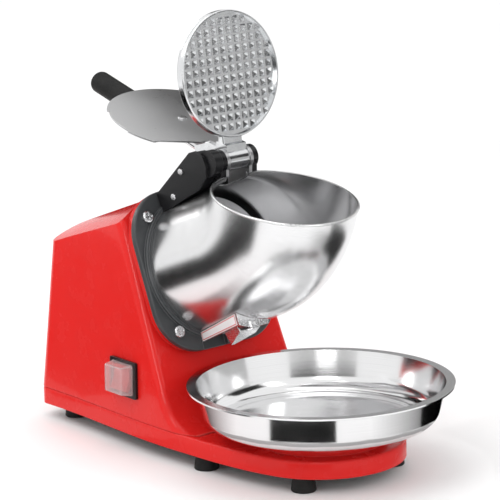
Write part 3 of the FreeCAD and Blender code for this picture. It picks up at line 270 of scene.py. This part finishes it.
def clear_boot():
    f = Finish("clear_boot", (0.97, 0.80, 0.80), 0.12, Transmission_Weight=0.78, IOR=1.25, Coat_Weight=0.4)
    f.rounded(0.0006)
    f.rough(f.span(f.noise(150.0, 4), 0.06, 0.22))
    return f.bump(f.noise(500.0, 3), 0.12, 0.0002).done()


def rocker_red():
    f = Finish("rocker_red", (0.60, 0.02, 0.015), 0.28, Coat_Weight=0.5)
    f.rounded(0.0006)
    f.color(f.blend(f.span(f.noise(90.0, 3), 0, 1), (0.52, 0.015, 0.012), (0.66, 0.03, 0.02)))
    return f.bump(f.noise(900.0, 2), 0.06, 0.0001).done()


def blank_label():
    """White film with a thin red border that follows the label's sloping outline."""
    f = Finish("blank_label", (0.86, 0.84, 0.84), 0.35, Coat_Weight=0.4)
    place = f.place()
    along = f.dot(place, ALONG, FACE)
    down = f.dot(place, DOWN, FACE)
    top_edge = f.math("MULTIPLY_ADD", along, -LABEL_TOP_SLOPE, LABEL_TOP + LABEL_START * LABEL_TOP_SLOPE)
    foot_edge = f.math("MULTIPLY_ADD", along, -LABEL_FOOT_SLOPE, LABEL_FOOT + LABEL_START * LABEL_FOOT_SLOPE)
    top = f.math("SUBTRACT", down, top_edge)
    foot = f.math("SUBTRACT", foot_edge, down)
    ends = f.math("MINIMUM", f.math("SUBTRACT", along, LABEL_START), f.math("SUBTRACT", LABEL_END, along))
    inside = f.math("MINIMUM", f.math("MINIMUM", top, foot), ends)
    past_outer = f.span(inside, 0, 1, 0.0006, 0.0008)
    before_inner = f.span(inside, 1, 0, 0.0014, 0.0016)
    border = f.math("MULTIPLY", past_outer, before_inner)
    paper = f.blend(f.span(f.noise(50.0, 4), 0, 1), (0.80, 0.78, 0.78), (0.88, 0.86, 0.86))
    f.color(f.blend(border, paper, (0.62, 0.05, 0.05)))
    f.rough(f.span(f.noise(200.0, 3), 0.28, 0.42))
    return f.bump(f.noise(600.0, 2), 0.05, 0.0001).done()


def moulded(name, color, roughness):
    f = Finish(name, color, roughness)
    f.color(f.blend(f.span(f.noise(60.0, 4), 0, 1), tuple(c * 0.8 for c in color), color))
    f.rough(f.span(f.noise(300.0, 3), roughness - 0.08, roughness + 0.08))
    return f.bump(f.noise(1200.0, 2), 0.1, 0.0001).done()


bowl_low, bowl_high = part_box("bowl")
bowl_centre = (bowl_low + bowl_high) / 2
lid_low, lid_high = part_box("lid")
lid_centre = (lid_low + lid_high) / 2

RED, CASTING, PAINT = red_gloss(), dark_casting(), black_paint()
MOULDING, RUBBER, ALUMINIUM = black_moulding(), rubber(), cast_aluminium()
SCREW = plain_steel("screw_steel", (0.68, 0.68, 0.69), 0.20, 0.34)
SHEET = plain_steel("guard_sheet", (0.72, 0.72, 0.73), 0.16, 0.30)
SATIN = plain_steel("satin_steel", (0.60, 0.60, 0.61), 0.26, 0.42)
CHROME = plain_steel("plated_steel", (0.74, 0.74, 0.75), 0.08, 0.18)
IRON = plain_steel("lacquered_iron", (0.20, 0.19, 0.18), 0.4, 0.6)
NYLON = moulded("nylon", (0.78, 0.77, 0.74), 0.45)

FINISHES = {
    RED: ["base_tray", "housing_shell"],
    CASTING: ["blade_housing"],
    PAINT: ["pivot_bracket", "hinge_bosses"],
    MOULDING: ["switch_box", "switch_cover", "switch_bezel", "switch_body", "microswitch", "cooling_fan"],
    moulded("base_underside", (0.05, 0.05, 0.052), 0.6): ["base_plate"],
    RUBBER: ["feet", "cord_gland", "shaft_seal", "handle_grip"],
    tube_steel(): ["hopper"],
    spun_steel("bowl_steel", (0.80, 0.80, 0.805), 0.10, 0.17, bowl_centre, 1400.0, 0.04): ["bowl"],
    spun_steel("lid_steel", (0.56, 0.56, 0.565), 0.26, 0.40, lid_centre, 1500.0, 0.10): ["lid"],
    ALUMINIUM: ["press_plate", "press_arm", "lid_standoff", "motor_front_bell", "motor_rear_bell"],
    SATIN: ["hinge_lugs", "blade_disc", "blade_nut", "motor_shaft", "blades"],
    SHEET: ["ice_guard", "ice_deflector"],
    SCREW: ["foot_screws", "housing_screws", "blade_housing_screws", "bracket_screws", "switch_cover_screws",
            "guard_screw", "motor_screws", "blade_screws", "press_arm_screws", "lid_screw"],
    CHROME: ["handle_rod", "pivot_pin", "front_bearing", "rear_bearing"],
    IRON: ["motor_can", "rotor"],
    NYLON: ["microswitch_plunger", "switch_cam"],
    clear_boot(): ["switch_boot"],
    rocker_red(): ["rocker"],
    blank_label(): ["guard_label"],
    moulded("board", (0.03, 0.18, 0.07), 0.4): ["rectifier_board"],
}
for finish, names in FINISHES.items():
    for name in names:
        mesh = nodes[name].data
        mesh.materials.clear()
        mesh.materials.append(finish)


# ---- smooth shading with crisp edges on the CAD nodes ----
def crisp(node):
    mesh = node.data
    if "custom_normal" in mesh.attributes:
        mesh.attributes.remove(mesh.attributes["custom_normal"])
    mesh.shade_smooth()
    weld = node.modifiers.new("weld", "WELD")
    weld.merge_threshold = WELD_REACH
    split = node.modifiers.new("split", "EDGE_SPLIT")
    split.split_angle = math.radians(CRISP_ANGLE)


for node in nodes.values():
    crisp(node)


# ---- studio ----
def area_lamp(name, place, aim, width, height, power):
    lamp = bpy.data.lights.new(name, "AREA")
    lamp.shape = "RECTANGLE"
    lamp.size, lamp.size_y = width, height
    lamp.energy = power
    lamp.spread = math.pi
    holder = bpy.data.objects.new(name, lamp)
    holder.location = place
    holder.rotation_mode = "QUATERNION"
    holder.rotation_quaternion = (Vector(aim) - Vector(place)).to_track_quat("-Z", "Y")
    scene.collection.objects.link(holder)


def card(name, corners, shade, glow=0.0):
    """Studio card seen only in reflections: black to darken steel, glowing to brighten it."""
    mesh = bpy.data.meshes.new(name)
    mesh.from_pydata([tuple(c) for c in corners], [], [tuple(range(len(corners)))])
    holder = bpy.data.objects.new(name, mesh)
    scene.collection.objects.link(holder)
    f = Finish(name, (shade, shade, shade), 1.0, Specular_IOR_Level=0.0)
    f.shader.inputs["Emission Color"].default_value = (1, 1, 1, 1)
    f.shader.inputs["Emission Strength"].default_value = glow
    mesh.materials.append(f.material)
    holder.visible_camera = False
    holder.visible_diffuse = False
    holder.visible_shadow = False
    holder.visible_transmission = False


def floor_card(name, centre, radii, azimuths, shades):
    """Ring sector just above the floor whose shade fades from one azimuth to the other."""
    (inner, outer), (first, last), (start, end) = radii, azimuths, shades
    pieces = 1 if start == end else FADE_STEPS
    for i in range(pieces):
        turns = [math.radians(first + (last - first) * (i + k / 8) / pieces) for k in range(9)]
        ring = [(inner, t) for t in turns] + [(outer, t) for t in reversed(turns)]
        flat = [(centre[0] + r * math.sin(t), centre[1] - r * math.cos(t)) for r, t in ring]
        corners = [(x, y, FLOOR_CARD_HEIGHT) for x, y in flat]
        card(f"{name}_{i}", corners, start + (end - start) * i / (FADE_STEPS - 1))


def back_card(name, near, far, low, high, shade):
    """Upright card behind the machine; its lower edge runs from low[0] at near to low[1] at far."""
    corners = [(near, low[0]), (far, low[1]), (far, high), (near, high)]
    card(name, [(BACK_CARD_X, y, z) for y, z in corners], shade)


def wall_card(name, azimuths, elevations, distance, shade, glow=0.0):
    """Upright card between two azimuths and two elevations, seen from the machine."""
    (a0, a1), (e0, e1) = azimuths, elevations
    card(name, [around(a, e, distance) for a, e in ((a0, e0), (a1, e0), (a1, e1), (a0, e1))], shade, glow)


def floor():
    mesh = bpy.data.meshes.new("floor")
    half = 12.0
    corners = [(-half, -half, 0), (half, -half, 0), (half, half, 0), (-half, half, 0)]
    mesh.from_pydata(corners, [], [(0, 1, 2, 3)])
    holder = bpy.data.objects.new("floor", mesh)
    scene.collection.objects.link(holder)
    f = Finish("floor_white", (0.93, 0.93, 0.93), 0.6)
    f.color(f.blend(f.span(f.noise(3.0, 2), 0, 1), (0.925, 0.925, 0.925), (0.935, 0.935, 0.935)))
    mesh.materials.append(f.material)


def camera():
    azimuth, elevation, roll = (math.radians(degrees) for degrees in (48.48, 12.83, -1.46))
    target, distance = Vector((0.01255, 0, 0.180)), 2.5
    back = Vector((math.sin(azimuth) * math.cos(elevation), -math.cos(azimuth) * math.cos(elevation),
                   math.sin(elevation)))
    right = Vector((math.cos(azimuth), math.sin(azimuth), 0))
    up = back.cross(right)
    turned_right = right * math.cos(roll) + up * math.sin(roll)
    turned_up = up * math.cos(roll) - right * math.sin(roll)
    data = bpy.data.cameras.new("camera")
    data.sensor_width = 36.0
    data.lens = 207.45
    data.clip_start, data.clip_end = 0.1, 60.0
    holder = bpy.data.objects.new("camera", data)
    place = Matrix((turned_right, turned_up, back)).transposed().to_4x4()
    place.translation = target + back * distance
    holder.matrix_world = place
    scene.collection.objects.link(holder)
    scene.camera = holder


def around(azimuth, elevation, distance, centre=Vector((0, 0, 0.2))):
    a, e = math.radians(azimuth), math.radians(elevation)
    return centre + Vector((math.sin(a) * math.cos(e), -math.cos(a) * math.cos(e), math.sin(e))) * distance


def studio():
    world = bpy.data.worlds.new("studio")
    scene.world = world
    world.use_nodes = True
    sky = world.node_tree.nodes["Background"]
    sky.inputs["Color"].default_value = (1, 1, 1, 1)
    sky.inputs["Strength"].default_value = 1.06
    centre = Vector((0, 0, 0.2))
    area_lamp("key", around(10, 48, 2.2), centre, 1.0, 0.6, 7)
    area_lamp("fill", around(100, 30, 2.4), centre, 0.5, 1.2, 4)
    area_lamp("rear", around(-60, 40, 2.2), centre, 0.4, 1.4, 5)
    area_lamp("top", Vector((0, 0, 2.4)), centre, 1.2, 1.2, 6)
    bowl_spot = (bowl_centre.x, 0.0)
    floor_card("dark_floor_left", (0.0, -0.06), (0.255, 1.05), (-76, 12), (0.0, 0.0))
    floor_card("dark_floor_front", bowl_spot, (0.147, 0.187), (10, 57), (0.0, 0.0))
    floor_card("grey_floor_right", bowl_spot, (0.147, 0.30), (80, 132), (0.95, 0.28))
    floor_card("grey_floor_near", bowl_spot, (0.112, 0.147), (-78, 175), (0.45, 0.45))
    floor_card("dark_floor_right", bowl_spot, (0.147, 0.42), (132, 184), (0.0, 0.0))
    floor_card("grey_floor_left", bowl_spot, (0.147, 0.22), (-70, -18), (0.12, 0.95))
    back_card("dark_left", 0.06, 0.30, (0.15, 0.15), 0.42, 0.0)
    back_card("dark_left_top", -0.02, 0.06, (0.275, 0.275), 0.42, 0.0)
    back_card("grey_left_top", -0.06, -0.02, (0.29, 0.28), 0.42, 0.3)
    wall_card("grey_rear", (-165, -124), (-7, 24), 1.6, 0.3)
    wall_card("dark_far", (112, 156), (11, 34), 1.8, 0.02)
    wall_card("glow_front", (34, 52), (13, 24), 2.4, 0.0, 7.0)
    wall_card("dark_front", (14, 78), (-14, 9), 2.2, 0.0)
    wall_card("grey_far", (122, 176), (-9, 10), 1.6, 0.45)
    wall_card("glow_left", (-112, -84), (17, 27), 1.8, 0.0, 6.0)
    over_lid = [(-0.46, 0.12, 0.42), (-0.06, 0.12, 0.42), (-0.06, 0.50, 0.56), (-0.46, 0.50, 0.56)]
    card("dark_over_lid", over_lid, 0.05)


camera()
floor()
studio()
scene.view_settings.view_transform = "Standard"
scene.view_settings.look = "None"
scene.view_settings.exposure = 0.0
